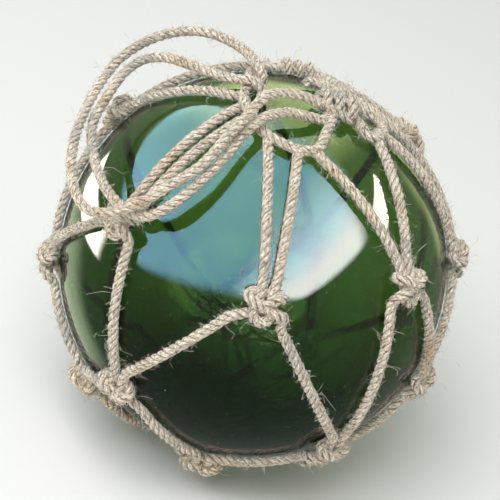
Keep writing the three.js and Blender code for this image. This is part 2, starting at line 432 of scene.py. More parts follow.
def mixed(tree, kind, factor, first, second):
    node = add(tree, "ShaderNodeMix", {0: factor, 6: first, 7: second}, data_type="RGBA", blend_type=kind)
    return node.outputs[2]


FLECKS = (2400.0, 2400.0, 900.0)  # per metre: across a strand both ways, and along it
HAIRS = (7000.0, 7000.0, 900.0)
PIT_FINENESS = 900.0
PATCH_FINENESS = 45.0
FIBRE_TONE_FINENESS = 300.0
# Dark brown for the random pits, and also the painted shade part way into the grooves between strands.
DIRT_AND_GROOVE_SHADE = (0.36, 0.27, 0.20)
NO_CHANGE = (1.0, 1.0, 1.0)


def jute_material():
    material, tree, surface = shader("jute rope")
    grain = add(tree, "ShaderNodeAttribute", attribute_name="grain").outputs["Vector"]
    groove = add(tree, "ShaderNodeAttribute", attribute_name="groove").outputs["Fac"]
    place = add(tree, "ShaderNodeTexCoord").outputs["Object"]
    flecks = noisy(tree, vectors(tree, "MULTIPLY", grain, FLECKS), 1.0, 3.0)
    hairs = noisy(tree, vectors(tree, "MULTIPLY", grain, HAIRS), 1.0, 2.0)
    pits = noisy(tree, place, PIT_FINENESS, 1.0)
    patches = noisy(tree, place, PATCH_FINENESS, 3.0)
    colour = ramp(tree, patches, [
        (0.30, (0.52, 0.49, 0.45)), (0.42, (0.70, 0.62, 0.54)), (0.56, (0.78, 0.69, 0.60)),
        (0.66, (0.68, 0.55, 0.41)), (0.76, (0.56, 0.41, 0.26)),
    ])
    layers = [
        (flecks, [(0.34, (0.42, 0.35, 0.29)), (0.45, (0.88, 0.84, 0.80)), (0.52, NO_CHANGE),
                  (0.66, (1.4, 1.4, 1.37))]),
        (hairs, [(0.36, (0.55, 0.49, 0.43)), (0.5, NO_CHANGE), (0.64, (1.25, 1.25, 1.22))]),
        (pits, [(0.28, DIRT_AND_GROOVE_SHADE), (0.36, NO_CHANGE)]),
        # Painted shade: the deeper a point lies in the grooves between strands, the darker, down to nearly
        # black.
        (groove, [(0.62, (0.05, 0.03, 0.02)), (0.74, DIRT_AND_GROOVE_SHADE), (0.88, NO_CHANGE)]),
    ]
    for factor, stops in layers:
        colour = mixed(tree, "MULTIPLY", 1.0, colour, ramp(tree, factor, stops))
    tree.links.new(colour, surface.inputs["Base Color"])
    height = maths(tree, "MULTIPLY_ADD", hairs, 0.6, flecks)
    bump = add(tree, "ShaderNodeBump", {"Strength": 1.0, "Distance": 0.3 * MM, "Height": height})
    tree.links.new(bump.outputs[0], surface.inputs["Normal"])
    surface.inputs["Roughness"].default_value = 0.95
    surface.inputs["Specular IOR Level"].default_value = 0.12
    surface.inputs["Sheen Weight"].default_value = 0.2
    surface.inputs["Sheen Roughness"].default_value = 0.6
    return material


def fibre_material():
    material, tree, surface = shader("jute fibres")
    place = add(tree, "ShaderNodeTexCoord").outputs["Object"]
    colour = ramp(tree, noisy(tree, place, FIBRE_TONE_FINENESS, 1.0), [
        (0.35, (0.50, 0.42, 0.32)), (0.5, (0.70, 0.62, 0.52)), (0.65, (0.84, 0.78, 0.68)),
    ])
    tree.links.new(colour, surface.inputs["Base Color"])
    surface.inputs["Roughness"].default_value = 0.7
    surface.inputs["Specular IOR Level"].default_value = 0.3
    surface.inputs["Sheen Weight"].default_value = 0.3
    return material


jute = jute_material()
fibre = fibre_material()
print("materials:", jute.name, "and", fibre.name)

# %% [markdown]
# One function turns any line into a finished rope: it draws the line as a curve, runs the tree on it
# and removes the curve. On a closed rope the lay is stretched a little, so that a whole number of turns
# fits and the strands meet themselves.

# %% Make a rope from a line
TURN_PER_SEED = 1.3  # radians, so that no two ropes start with their strands alike
ropes = {}


def make_rope(name, line, closed=False, seed=0, diameter=ROPE_DIAMETER):
    """A twisted jute rope along the line, as a piece that rides on the body."""
    curve = bpy.data.curves.new(name + "_line", "CURVE")
    curve.dimensions = "3D"
    spline = curve.splines.new("POLY")
    spline.points.add(len(line) - 1)
    spline.points.foreach_set("co", np.column_stack([line, np.ones(len(line))]).ravel())
    spline.use_cyclic_u = closed
    source = bpy.data.objects.new(name + "_line", curve)
    bpy.context.scene.collection.objects.link(source)
    length = line_length(line, closed)
    lay = LAY_LENGTH * diameter / ROPE_DIAMETER
    rope = run_tree(source, rope_tree, {
        "Rope Radius": diameter / 2,
        "Lay Length": length / max(1, round(length / lay)) if closed else lay,
        "Start Angle": seed * TURN_PER_SEED,
        "Seed": float(seed),
        "Material": jute,
    }, name)
    bpy.data.objects.remove(source)
    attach(rope, "root")
    ropes[name] = rope
    print(name, round(length, 3), "m,", len(rope.data.polygons), "faces")
    return rope


outer_rope = make_rope("loop_rope_outer", outer_line, seed=1)
inner_rope = make_rope("loop_rope_inner", inner_line, seed=2)
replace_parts(outer_rope, "hanging_loop_outer")
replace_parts(inner_rope, "hanging_loop_inner")

# %% [markdown]
# The net is tied in rounds. Each round is one long rope that zigzags round the ball: it hangs as a
# bight in each knot of the row below, and ties itself over a bight in each knot of the row above. That
# is the netmaker's knot, a sheet bend. Its two paths are listed once, in millimetres to the right, up
# towards the crown and out from the glass, and every knot of the net uses them, mirrored for some.

# %% Places and paths of the net's knots
# Each knot has an azimuth and a polar angle in degrees. The rows go from the crown down.
KNOT_ROWS = [
    [(6, 67), (53, 62), (96, 72), (133, 47.5), (195, 65), (258, 61), (316, 65)],
    [(43, 118), (74, 102), (114, 108), (164, 110), (227, 105), (284, 100), (332.5, 110.5)],
    [(4, 141), (60, 138), (94, 140), (139, 142), (195, 142), (256, 140), (311, 127)],
]
COLUMNS = len(KNOT_ROWS[0])
BIGHT_PATH = [
    (-2.6, 10, 2.1), (-2.2, 6.5, 2.8), (-2.3, 3.2, 3.8), (-2.9, -0.5, 4.0), (-2.5, -3.6, 4.2),
    (0, -5.2, 4.2), (2.5, -3.6, 4.2), (2.9, -0.5, 4.0), (2.3, 3.2, 3.8), (2.2, 6.5, 2.8), (2.6, 10, 2.1),
]
TYING_PATH = [
    (-10, -6.5, 2.1), (-6.4, -4.4, 2.1), (-3.2, -2.8, 1.8), (-0.8, -1.2, 2.6), (0.3, 0.6, 4.9),
    (1.2, 2.4, 6.8), (3.4, 3.8, 6.6), (5.7, 4.4, 4.6), (4.6, 4.9, 2.4), (1.6, 4.8, 1.8), (-1.8, 4.6, 1.8),
    (-4.8, 4.3, 2.4), (-6.4, 3.2, 4.6), (-4.4, 1.9, 6.3), (-1.6, 0.8, 6.0), (1.2, -0.1, 5.4),
    (4.2, -0.9, 5.9), (7.2, -1.9, 4.6), (7.4, -3.9, 2.8), (7.8, -6.8, 2.1),
]
LEG_STEP = 6 * MM  # between two points of a straight leg
LEG_GAP = 0.1 * MM  # between a leg and the glass
degrees_per_metre = math.degrees(1 / (GLASS_RADIUS + ROPE_RADIUS))


def beside(place, right, down):
    """A place moved along the glass, in metres to the right and down from the crown."""
    azimuth, polar = place
    round_the_crown = right * degrees_per_metre / math.sin(math.radians(polar))
    return azimuth + round_the_crown, polar + down * degrees_per_metre


def knot_points(place, path, mirrored):
    """A knot's path on the ball, always from its left end to its right end."""
    side = -1 if mirrored else 1
    ordered = path[::-1] if mirrored else path
    points = []
    for right, up, out in ordered:
        spot = beside(place, side * right * MM, -up * MM)
        points.append(over_ball(*spot, out * MM))
    return points


def leg_points(start, end, bow=0.0):
    """Points between two others, on the glass: the shortest way, but for a sideways bow of some mm."""
    a, b = start - BALL_MIDDLE, end - BALL_MIDDLE
    right = a.cross(b).normalized()
    count = max(2, round((a - b).length / LEG_STEP))
    points = []
    for i in range(1, count):
        share = i / count
        direction = a.slerp(b, share) + right * math.sin(share * math.pi) * bow * MM
        points.append(BALL_MIDDLE + direction.normalized() * (GLASS_RADIUS + ROPE_RADIUS + LEG_GAP))
    return points


print("net:", len(KNOT_ROWS), "rows of", COLUMNS, "knots")

# %% [markdown]
# The top round hooks under the crown ring and the lowest round under the foot ring. Each hook is a short
# turn beneath the ring's rope, so the legs disappear under it as they do on the real net.

# %% Tie the four rounds of the net
# A hook under the crown ring: its azimuth, its polar angle and half its width, all in degrees.
CROWN_HOOKS = [
    (14, 23.2, 8), (84, 22.3, 6.5), (139, 16.5, 10), (184, 26, 8), (216, 27, 8), (297, 18, 8), (331, 21, 12),
]
CROWN_HOOK_SHAPE = [(-1, 1.6), (-0.75, 0.2), (0, -0.5), (0.75, 0.2), (1, 1.6)]  # half widths, degrees
FOOT_HOOK_SHAPE = [(-11, -3), (-8, -0.6), (0, 0.3), (8, -0.6), (11, -3)]  # degrees both ways
FOOT_POLAR = 164
HOOK_HEIGHT = 2.0 * MM
# How far some legs bow sideways, in millimetres by column, for a part of the net and a side of it.
BOWS = {
    ("crown", "left"): {1: -5},
    ("crown", "right"): {0: 1, 6: 3},
    ("middle", "left"): {0: -8, 6: -1.5},
    ("middle", "right"): {6: 1.5},
}
# The row and column of each knot that is tied the other way round.
MIRRORED = {(0, 1), (0, 3), (0, 5), (1, 0), (1, 3), (1, 6), (2, 1), (2, 4), (2, 6)}
SEAM_COLUMN = 4  # a round starts at the back, where its seam doesn't show


def bow_of(legs, side, column):
    return BOWS.get((legs, side), {}).get(column % COLUMNS, 0)


def tie(row, column, path):
    """The points of one knot of the net, along one of its two paths."""
    column %= COLUMNS
    return knot_points(KNOT_ROWS[row][column], path, (row, column) in MIRRORED)


def joined(stops, bows):
    """One closed list of points through the stops, with legs between them."""
    points = []
    for i, stop in enumerate(stops):
        following = stops[(i + 1) % len(stops)]
        points += stop
        points += leg_points(stop[-1], following[0], bows[i])
    return points


def crown_hook(column):
    azimuth, polar, half_width = CROWN_HOOKS[column % COLUMNS]
    return [over_ball(azimuth + x * half_width, polar + y, HOOK_HEIGHT) for x, y in CROWN_HOOK_SHAPE]


def foot_hook(column):
    """A hook under the foot ring, halfway between a knot of the lowest row and the next one."""
    here = KNOT_ROWS[-1][column % COLUMNS][0]
    ahead = KNOT_ROWS[-1][(column + 1) % COLUMNS][0]
    between = here + ((ahead - here) % 360) / 2
    return [over_ball(between + x, FOOT_POLAR + y, HOOK_HEIGHT) for x, y in FOOT_HOOK_SHAPE]


def net_round(name, upper, lower, seed, legs="straight", ahead=0):
    """A round from upper(i) down to lower(i) and up again to upper(i + 1), for every column."""
    stops, bows = [], []
    for i in range(SEAM_COLUMN, SEAM_COLUMN + COLUMNS):
        stops += [upper(i), lower(i)]
        bows += [bow_of(legs, "right", i), -bow_of(legs, "left", i + ahead)]
    line = smooth_line(joined(stops, bows), closed=True)
    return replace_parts(make_rope(name, line, closed=True, seed=seed), "rope_net")


net_round("net_round_top", crown_hook, lambda i: tie(0, i + 1, BIGHT_PATH), 3, legs="crown", ahead=1)
net_round(
    "net_round_upper", lambda i: tie(0, i, TYING_PATH), lambda i: tie(1, i, BIGHT_PATH), 4, legs="middle",
)
net_round("net_round_lower", lambda i: tie(1, i, TYING_PATH), lambda i: tie(2, i + 1, BIGHT_PATH), 5)
net_round("net_round_foot", lambda i: tie(2, i, TYING_PATH), foot_hook, 6)

# %% [markdown]
# The crown ring is one rope round the crown, drawn to the right into a fat knot. From that knot a
# doubled stretch reaches out to the hook on the right, and a cut tail lies back along the ring. A torus
# would be simpler, but the real ring is pulled far out of round, so it follows listed places.

# %% The crown ring and its spur
CROWN_RING_ROUTE = [
    (298, 18, 3.6), (318, 19.5, 2.8), (338, 22, 2.6), (6, 23.4, 2.6), (18.5, 22.2, 2.8), (25, 18.6, 2.6),
    (33, 15, 2.6), (48, 11.6, 2.6), (75, 9.2, 2.8), (120, 11, 2.6), (150, 16, 2.3), (170, 21, 2.1),
    (190, 23, 2.1), (214, 22.5, 2.1), (238, 19.5, 2.4), (259, 16.5, 3.2), (280, 16, 3.8),
]
ring_line = smooth_line(placed(CROWN_RING_ROUTE), closed=True)
ring_rope = make_rope("crown_ring_rope", ring_line, closed=True, seed=7)
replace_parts(ring_rope, "crown_ring")

SPUR_ROUTE = [
    (72, 10.5, 2.6), (82, 13.4, 2.6), (80, 16, 2.6), (74, 19.3, 2.6), (75, 21.8, 2.8), (86, 23.3, 3.0),
    (98, 23.2, 3.2), (103, 21.2, 3.0), (104, 18, 2.8), (107, 15, 3.0), (104, 12, 3.4),
]
spur_rope = make_rope("crown_spur_rope", smooth_line(placed(SPUR_ROUTE)), seed=8)
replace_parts(spur_rope, "crown_ring")

# %% [markdown]
# How the fat knot is tied is lost in its fuzz. It could be sculpted as one lump, but the rope has to run
# on into the ring, so it is a coil round a short line, worked out by a loop, with a way in and a way out
# that are listed.

# %% The crown knot and its tail
CROWN_KNOT_ENDS = [(44, 5.2, 4.8), (81, 13.2, 4.4)]  # the two ends of the coil's middle line
COIL_TURNS = 2.6
COIL_RADIUS = 3.3 * MM
STEPS_PER_TURN = 8
COIL_START = 0.3  # as a share of a turn before the outermost place
INTO_KNOT_ROUTE = [(26, 8.6, 7.2), (36, 8.0, 6.0), (48, 8.8, 4.8), (60, 10.6, 4.4), (67, 13.0, 3.6)]
OUT_OF_KNOT_ROUTE = [(52, 9.0, 2.6), (40, 10.6, 2.6), (31, 11.8, 2.8), (27, 11.7, 3.0)]
TAIL_ROUTE = [(110, 8.2, 4.8), (135, 9.8, 3.6), (155, 10.8, 2.8), (172, 10.2, 2.6), (188, 8.2, 2.6)]


def coil(ends, turns, radius):
    """Turns round the line between two places, from its second end back to its first."""
    left, right = placed(ends)
    axis = (left - right).normalized()
    outwards = ((left + right) / 2 - BALL_MIDDLE).normalized()
    across = axis.cross(outwards).normalized()
    outwards = across.cross(axis)
    points = []
    count = round(turns * STEPS_PER_TURN)
    for i in range(count + 1):
        angle = FULL_TURN * (i / STEPS_PER_TURN - COIL_START)
        lift = outwards * math.cos(angle) + across * math.sin(angle)
        points.append(right.lerp(left, i / count) + lift * radius)
    return points


crown_coil = coil(CROWN_KNOT_ENDS, COIL_TURNS, COIL_RADIUS)
knot_line = smooth_line(placed(INTO_KNOT_ROUTE) + crown_coil + placed(OUT_OF_KNOT_ROUTE))
knot_rope = make_rope("crown_knot_rope", knot_line, seed=9)
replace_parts(knot_rope, "crown_ring")
tail_rope = make_rope("crown_tail_rope", smooth_line(placed(TAIL_ROUTE)), seed=11)
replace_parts(tail_rope, "crown_ring")

# %% [markdown]
# At the back of the crown ring the photo shows a fuzzy lump. It could be a knot or a whipping, the turns
# of thin rope that hold a splice together. A whipping is the plainer of the two, so it is made here,
# with the same coil as the knot. Its run at the back is guessed.

# %% Whip the back of the ring
WHIPPING_ENDS = [(180, 22.2, 3.0), (203, 23.0, 3.0)]
WHIPPING_TURNS = 2.75
WHIPPING_RADIUS = 2.5 * MM
WHIPPING_DIAMETER = 2.8 * MM
whipping_line = smooth_line(coil(WHIPPING_ENDS, WHIPPING_TURNS, WHIPPING_RADIUS))
whipping = make_rope("ring_whipping_rope", whipping_line, seed=14, diameter=WHIPPING_DIAMETER)
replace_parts(whipping, "crown_ring")

# %% [markdown]
# Both ropes of the hanging loop go under the crown ring where they come back. A rope that stopped short
# above the ring would look cut off, so each end gets a short tuck, a rope of its own that starts where
# the loop ends, bends over the ring and dives beneath it. The cords themselves stay as they are.

# %% Tuck the loop's ends under the ring
OUTER_TUCK_ROUTE = [(255, 14.5, 7.5), (263, 12.8, 6.0), (269, 12.2, 3.6), (262, 13.6, 2.0), (250, 16.5, 1.9)]
INNER_TUCK_ROUTE = [(284, 18, 7.2), (287, 15.8, 7.6), (291, 13.6, 6.2), (297, 12.6, 3.6), (300, 13.6, 2.0)]
for name, route, seed in (
    ("loop_tuck_outer", OUTER_TUCK_ROUTE, 12), ("loop_tuck_inner", INNER_TUCK_ROUTE, 13),
):
    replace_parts(make_rope(name, smooth_line(placed(route)), seed=seed), "crown_ring")

# %% [markdown]
# The foot ring is the rope that the float stands on. The photo hides it, so it is a plain round ring.

# %% The foot ring
FOOT_RING_HEIGHT = 2.9 * MM
FOOT_RING_STEP = 15  # degrees from one point of the ring to the next
foot_places = [over_ball(azimuth, FOOT_POLAR, FOOT_RING_HEIGHT) for azimuth in range(0, 360, FOOT_RING_STEP)]
foot_line = smooth_line(foot_places, closed=True)
foot_rope = make_rope("foot_ring_rope", foot_line, closed=True, seed=10)
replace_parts(foot_rope, "foot_ring")

# %% [markdown]
# Soft rope flattens where it is pulled against the glass or carries the float. A shrinkwrap could do
# that, but two plain rules on the finished vertices do it too: none lies inside the glass and none
# below the ground.

# %% Press the ropes against glass and ground
GROUND = cad_box[0][2]


def press(piece):
    """Flattens a piece where it would sink into the glass or the ground."""
    places = np.empty(len(piece.data.vertices) * 3)
    piece.data.vertices.foreach_get("co", places)
    away = places.reshape(-1, 3) - np.array(BALL_MIDDLE)
    distance = np.linalg.norm(away, axis=1, keepdims=True)
    pressed = np.array(BALL_MIDDLE) + away * np.maximum(1, GLASS_RADIUS / distance)
    pressed[:, 2] = np.maximum(pressed[:, 2], GROUND)
    piece.data.vertices.foreach_set("co", pressed.ravel())
    piece.data.update()


for rope in ropes.values():
    press(rope)
print("pressed", len(ropes), "ropes")

# %% [markdown]
# Loose fibres stand out all along real jute, mostly a millimetre or two, some much longer. A second
# tree scatters points over a finished rope, stands a fine curve on each, bends it at random and sweeps a
# thin three-sided section along it. The seed is fixed, so each run gives the same hairs, and they are
# pressed against glass and ground as the ropes are.

# %% The loose fibres
FIBRES_PER_M2 = 300000.0
TIGHT_SHARE = {"crown_knot_rope": 0.35}  # the knot hides most of its own rope, so it gets fewer
FIBRE_RADIUS = 0.06 * MM
FIBRE_SHORTEST = 0.8 * MM
FIBRE_LONGEST = 7.0 * MM
FIBRE_RARITY = 36.0  # the higher, the fewer long fibres
FIBRE_STEP = 1.4 * MM  # a longer fibre has one more bend for each of these
FEWEST_PLACES = 3.0  # on the shortest fibre
SHORT_SPREAD = (0.5, 2.4)  # a common fibre's length, in shortest lengths
LEAN_ALONG = 1.6  # along the rope, where straight out is 1
LEAN_LOOSE = 0.8  # any way
SWIRL_FINENESS = 330.0
BEND = 3.2
TAPER = 0.6  # the share of its thickness that a fibre loses up to its tip
FIRST_FIBRE_SEED = 20


def fibre_length(tree, given, random_value):
    """Mostly short, and rarely up to the longest."""
    chance = maths(tree, "POWER", random_value("FLOAT", 0.0, 1.0, 2), FIBRE_RARITY)
    extra = maths(tree, "MULTIPLY", chance, maths(tree, "SUBTRACT", given["Longest"], given["Shortest"]))
    short = maths(tree, "MULTIPLY", given["Shortest"], random_value("FLOAT", *SHORT_SPREAD, 3))
    return maths(tree, "ADD", extra, short)


def bent_fibres(tree, given, lines):
    """Gives straight fibres more points, and pushes each point further the nearer the tip it is."""
    spans = maths(tree, "DIVIDE", add(tree, "GeometryNodeSplineLength").outputs["Length"], given["Step"])
    real = add(tree, "GeometryNodeResampleCurve", {
        "Curve": lines, "Count": maths(tree, "ADD", maths(tree, "FLOOR", spans), FEWEST_PLACES),
    })
    position = add(tree, "GeometryNodeInputPosition").outputs[0]
    along = add(tree, "GeometryNodeSplineParameter").outputs
    swirl = add(tree, "ShaderNodeTexNoise", {
        "Vector": position, "Scale": SWIRL_FINENESS, "Detail": 0.0,
    }).outputs["Color"]
    push = vectors(tree, "SUBTRACT", swirl, (0.5, 0.5, 0.5))
    amount = maths(tree, "MULTIPLY", along["Length"], maths(tree, "MULTIPLY", along["Factor"], BEND))
    bent = add(tree, "GeometryNodeSetPosition", {
        "Geometry": real.outputs[0], "Offset": scaled(tree, push, amount),
    })
    taper = maths(tree, "SUBTRACT", 1.0, maths(tree, "MULTIPLY", along["Factor"], TAPER))
    return add(tree, "GeometryNodeSetCurveRadius", {"Curve": bent.outputs[0], "Radius": taper}).outputs[0]


def fibre_tree():
    tree, given = new_tree("loose fibres", {
        "Density": ("NodeSocketFloat", FIBRES_PER_M2),
        "Radius": ("NodeSocketFloat", FIBRE_RADIUS),
        "Shortest": ("NodeSocketFloat", FIBRE_SHORTEST),
        "Longest": ("NodeSocketFloat", FIBRE_LONGEST),
        "Step": ("NodeSocketFloat", FIBRE_STEP),
        "Seed": ("NodeSocketInt", 0),
        "Material": ("NodeSocketMaterial", None),
    })

    def random_value(kind, low, high, number):
        seed = maths(tree, "ADD", given["Seed"], float(number))
        first, output = (0, 0) if kind == "FLOAT_VECTOR" else (2, 1)
        inputs = {first: low, first + 1: high, "Seed": seed}
        return add(tree, "FunctionNodeRandomValue", inputs, data_type=kind).outputs[output]

    roots = add(tree, "GeometryNodeDistributePointsOnFaces", {
        "Mesh": given["Geometry"], "Density": given["Density"], "Seed": given["Seed"],
    })
    along_rope = scaled(tree, stored(tree, "lie"), random_value("FLOAT", -LEAN_ALONG, LEAN_ALONG, 4))
    loose = random_value("FLOAT_VECTOR", (-LEAN_LOOSE,) * 3, (LEAN_LOOSE,) * 3, 1)
    lean = vectors(tree, "ADD", vectors(tree, "ADD", roots.outputs["Normal"], along_rope), loose)
    facing = add(tree, "FunctionNodeAlignRotationToVector", {"Vector": lean}, axis="Z")
    straight = add(tree, "GeometryNodeCurvePrimitiveLine", {"Start": (0, 0, 0), "End": (0, 0, 1)})
    stood = add(tree, "GeometryNodeInstanceOnPoints", {
        "Points": roots.outputs["Points"], "Instance": straight.outputs[0],
        "Rotation": facing.outputs[0], "Scale": fibre_length(tree, given, random_value),
    })
    lines = add(tree, "GeometryNodeRealizeInstances", {"Geometry": stood.outputs[0]})
    section = add(tree, "GeometryNodeCurvePrimitiveCircle", {"Resolution": 3, "Radius": given["Radius"]})
    swept = add(tree, "GeometryNodeCurveToMesh", {
        "Curve": bent_fibres(tree, given, lines.outputs[0]), "Profile Curve": section.outputs[0],
        "Fill Caps": True,
    })
    bare = add(tree, "GeometryNodeRemoveAttribute", {"Geometry": swept.outputs[0], "Name": "lie"})
    end_tree(tree, bare.outputs[0], given["Material"])
    return tree


# %% Grow the fibres on every rope
hairs_tree = fibre_tree()
triangles = 0
for number, (name, rope) in enumerate(ropes.items()):
    hairs = run_tree(rope, hairs_tree, {
        "Density": FIBRES_PER_M2 * TIGHT_SHARE.get(name, 1), "Radius": FIBRE_RADIUS,
        "Shortest": FIBRE_SHORTEST, "Longest": FIBRE_LONGEST, "Step": FIBRE_STEP,
        "Seed": FIRST_FIBRE_SEED + number, "Material": fibre,
    }, name + "_fibres")
    press(hairs)
    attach(hairs, "root")
    for piece in (rope, hairs):
        triangles += sum(len(face.vertices) - 2 for face in piece.data.polygons)
print("rope and fibres:", triangles, "triangles")

# %% [markdown]
# The two ropes of the hanging loop are free cords, and their real lengths are printed.

for rope, line in ((outer_rope, outer_line), (inner_rope, inner_line)):
    print(rope.name, "is a free cord of", round(line_length(line), 4), "m")

# %% [markdown]
# The ball is blown glass: a closed shell, about three millimetres thick, thin at the crown and thick at
# the foot, and nowhere quite even. It is made from an icosphere, whose even triangles reflect without
# the pinched poles of a globe. A slow noise gives the outside its slight waves and the wall its uneven
# thickness. The inner skin is turned inside out, so that its faces look into the hollow and the glass
# lies between the two. The glass itself is clear: its green comes from how far light travels through
# the wall, as in real bottle glass, so the thick foot is darker by itself.

# %% Blow the glass ball
WALL_AT_TOP = 2.0 * MM
WALL_AT_FOOT = 4.8 * MM
WALL_SINKING = 1.3  # over 1 keeps the upper half thin
OUTSIDE_WAVE = 0.10 * MM
OUTSIDE_WAVES = 2.3  # the higher, the shorter the waves
WALL_WAVE = 0.35 * MM
WALL_WAVES = 1.6
WAVE_START = Vector((3.1, 0.4, 7.7))  # any place in the noise
GLASS_FINENESS = 6  # each step more has four times the triangles
RIPPLE_FINENESS = 22.0
GLASS_TINT = (0.36, 0.56, 0.10, 1)
GLASS_DENSITY = 820.0


def waved_radius(direction, inner):
    wave = noise.noise(direction * OUTSIDE_WAVES + WAVE_START)
    radius = GLASS_RADIUS - OUTSIDE_WAVE + wave * OUTSIDE_WAVE
    if inner:
        sunk = ((1 - direction.z) / 2) ** WALL_SINKING
        uneven = noise.noise(direction * WALL_WAVES) * WALL_WAVE
        radius -= WALL_AT_TOP + (WALL_AT_FOOT - WALL_AT_TOP) * sunk + uneven
    return radius


def glass_shell():
    shell = bmesh.new()
    for inner in (False, True):
        made = bmesh.ops.create_icosphere(shell, subdivisions=GLASS_FINENESS, radius=1.0)["verts"]
        for vertex in made:
            direction = vertex.co.normalized()
            vertex.co = BALL_MIDDLE + direction * waved_radius(direction, inner)
        if inner:
            bmesh.ops.reverse_faces(shell, faces=list({face for v in made for face in v.link_faces}))
    mesh = bpy.data.meshes.new("green_glass_ball")
    shell.to_mesh(mesh)
    shell.free()
    mesh.shade_smooth()
    ball = bpy.data.objects.new("green_glass_ball", mesh)
    bpy.context.scene.collection.objects.link(ball)
    return ball


def green_glass():
    """Clear glass with plain values: the green comes from how far light travels through the wall."""
    material, tree, surface = shader("green glass")
    surface.inputs["Base Color"].default_value = (1, 1, 1, 1)
    surface.inputs["Roughness"].default_value = 0.0
    surface.inputs["IOR"].default_value = 1.5
    surface.inputs["Transmission Weight"].default_value = 1.0
    place = add(tree, "ShaderNodeTexCoord").outputs["Object"]
    ripples = noisy(tree, place, RIPPLE_FINENESS, 1.5)
    bump = add(tree, "ShaderNodeBump", {"Strength": 0.12, "Distance": 0.5 * MM, "Height": ripples})
    tree.links.new(bump.outputs[0], surface.inputs["Normal"])
    body = add(tree, "ShaderNodeVolumeAbsorption", {"Color": GLASS_TINT, "Density": GLASS_DENSITY})
    tree.links.new(body.outputs[0], tree.nodes["Material Output"].inputs["Volume"])
    return material


ball = glass_shell()
ball.data.materials.append(green_glass())
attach(ball, "root")
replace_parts(ball, "glass_ball")
print("glass ball:", len(ball.data.polygons), "faces")

# %% [markdown]
# Old bottle glass is full of seeds, the tiny bubbles that were trapped as it was blown. Each could be
# cut out of the wall as a hollow, but at a few tenths of a millimetre a pale bead in the wall looks the
# same and stays simple. A tree scatters them over the outer skin and sinks each one to its own depth.

# %% Scatter the seeds in the glass
SEEDS_PER_M2 = 9000.0
SEED_RADII = (0.08 * MM, 0.26 * MM)
SEED_DEPTHS = (0.4 * MM, 1.1 * MM)
SEED_COLOUR = (0.78, 0.90, 0.80, 1)
SKIN_FINENESS = 4
SCATTER = 5  # the number that starts the random scatter


def seed_material():
    material, tree, surface = shader("glass seeds")
    surface.inputs["Base Color"].default_value = SEED_COLOUR
    surface.inputs["Roughness"].default_value = 0.25
    return material


def seed_tree():
    tree, given = new_tree("glass seeds", {
        "Density": ("NodeSocketFloat", SEEDS_PER_M2),
        "Seed": ("NodeSocketInt", 0),
        "Material": ("NodeSocketMaterial", None),
    })

    def between(span, number):
        seed = maths(tree, "ADD", given["Seed"], float(number))
        inputs = {2: span[0], 3: span[1], "Seed": seed}
        return add(tree, "FunctionNodeRandomValue", inputs, data_type="FLOAT").outputs[1]

    spots = add(tree, "GeometryNodeDistributePointsOnFaces", {
        "Mesh": given["Geometry"], "Density": given["Density"], "Seed": given["Seed"],
    })
    inwards = scaled(tree, spots.outputs["Normal"], maths(tree, "MULTIPLY", between(SEED_DEPTHS, 1), -1.0))
    sunk = add(tree, "GeometryNodeSetPosition", {"Geometry": spots.outputs["Points"], "Offset": inwards})
    bead = add(tree, "GeometryNodeMeshIcoSphere", {"Radius": 1.0, "Subdivisions": 1})
    beads = add(tree, "GeometryNodeInstanceOnPoints", {
        "Points": sunk.outputs[0], "Instance": bead.outputs[0], "Scale": between(SEED_RADII, 2),
    })
    end_tree(tree, beads.outputs[0], given["Material"])
    return tree


def outer_skin():
    """A bare copy of the ball's outer skin, for the seeds to be scattered over."""
    skin = bmesh.new()
    bmesh.ops.create_icosphere(skin, subdivisions=SKIN_FINENESS, radius=GLASS_RADIUS)
    bmesh.ops.translate(skin, verts=skin.verts, vec=BALL_MIDDLE)
    mesh = bpy.data.meshes.new("outer_skin")
    skin.to_mesh(mesh)
    skin.free()
    skin_object = bpy.data.objects.new("outer_skin", mesh)
    bpy.context.scene.collection.objects.link(skin_object)
    return skin_object


skin = outer_skin()
seeds = run_tree(skin, seed_tree(), {
    "Density": SEEDS_PER_M2, "Seed": SCATTER, "Material": seed_material(),
}, "glass_seeds")
bpy.data.objects.remove(skin)
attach(seeds, "root")
print("seeds:", len(seeds.data.polygons), "faces")

# %% [markdown]
# The float stands on a wide pale floor. The floor is no piece of the model, and it is hidden from mirror
# rays: a glass ball that mirrors a bright floor would lose its dark lower half.

# %% Lay the floor
FLOOR_SIZE = 6.0
FLOOR_GAP = 0.05 * MM
FLOOR_COLOUR = (0.92, 0.91, 0.92, 1)


def make_floor():
    far = FLOOR_SIZE / 2
    mesh = bpy.data.meshes.new("pale_floor")
    corners = [(-far, -far), (far, -far), (far, far), (-far, far)]
    mesh.from_pydata([(x, y, GROUND - FLOOR_GAP) for x, y in corners], [], [(0, 1, 2, 3)])
    material, tree, surface = shader("pale floor")
    surface.inputs["Base Color"].default_value = FLOOR_COLOUR
    surface.inputs["Roughness"].default_value = 1.0
    surface.inputs["Specular IOR Level"].default_value = 0.0
    mesh.materials.append(material)
    floor = bpy.data.objects.new("pale_floor", mesh)
    bpy.context.scene.collection.objects.link(floor)
    return floor


floor = make_floor()
floor.visible_glossy = False
print("floor:", FLOOR_SIZE, "m wide")

# %% [markdown]
# Glass shows what stands round it more than its own colour, so a studio lights it with cards: bright
# panels that are seen as patches in the glass. One softbox over the left shoulder lights the ropes and
# casts the soft shadow. Every other light is a card that matt surfaces don't see. Its strength is given
# as the radiance that a mirror would show, so a card can be moved or resized and stays as bright, and
# its edges fade, so that none shows as a hard line in the glass.

# %% Hang the softbox
AREA_LIGHT_FACTOR = 4  # from radiance to the watts of each square metre, as the renderer counts them


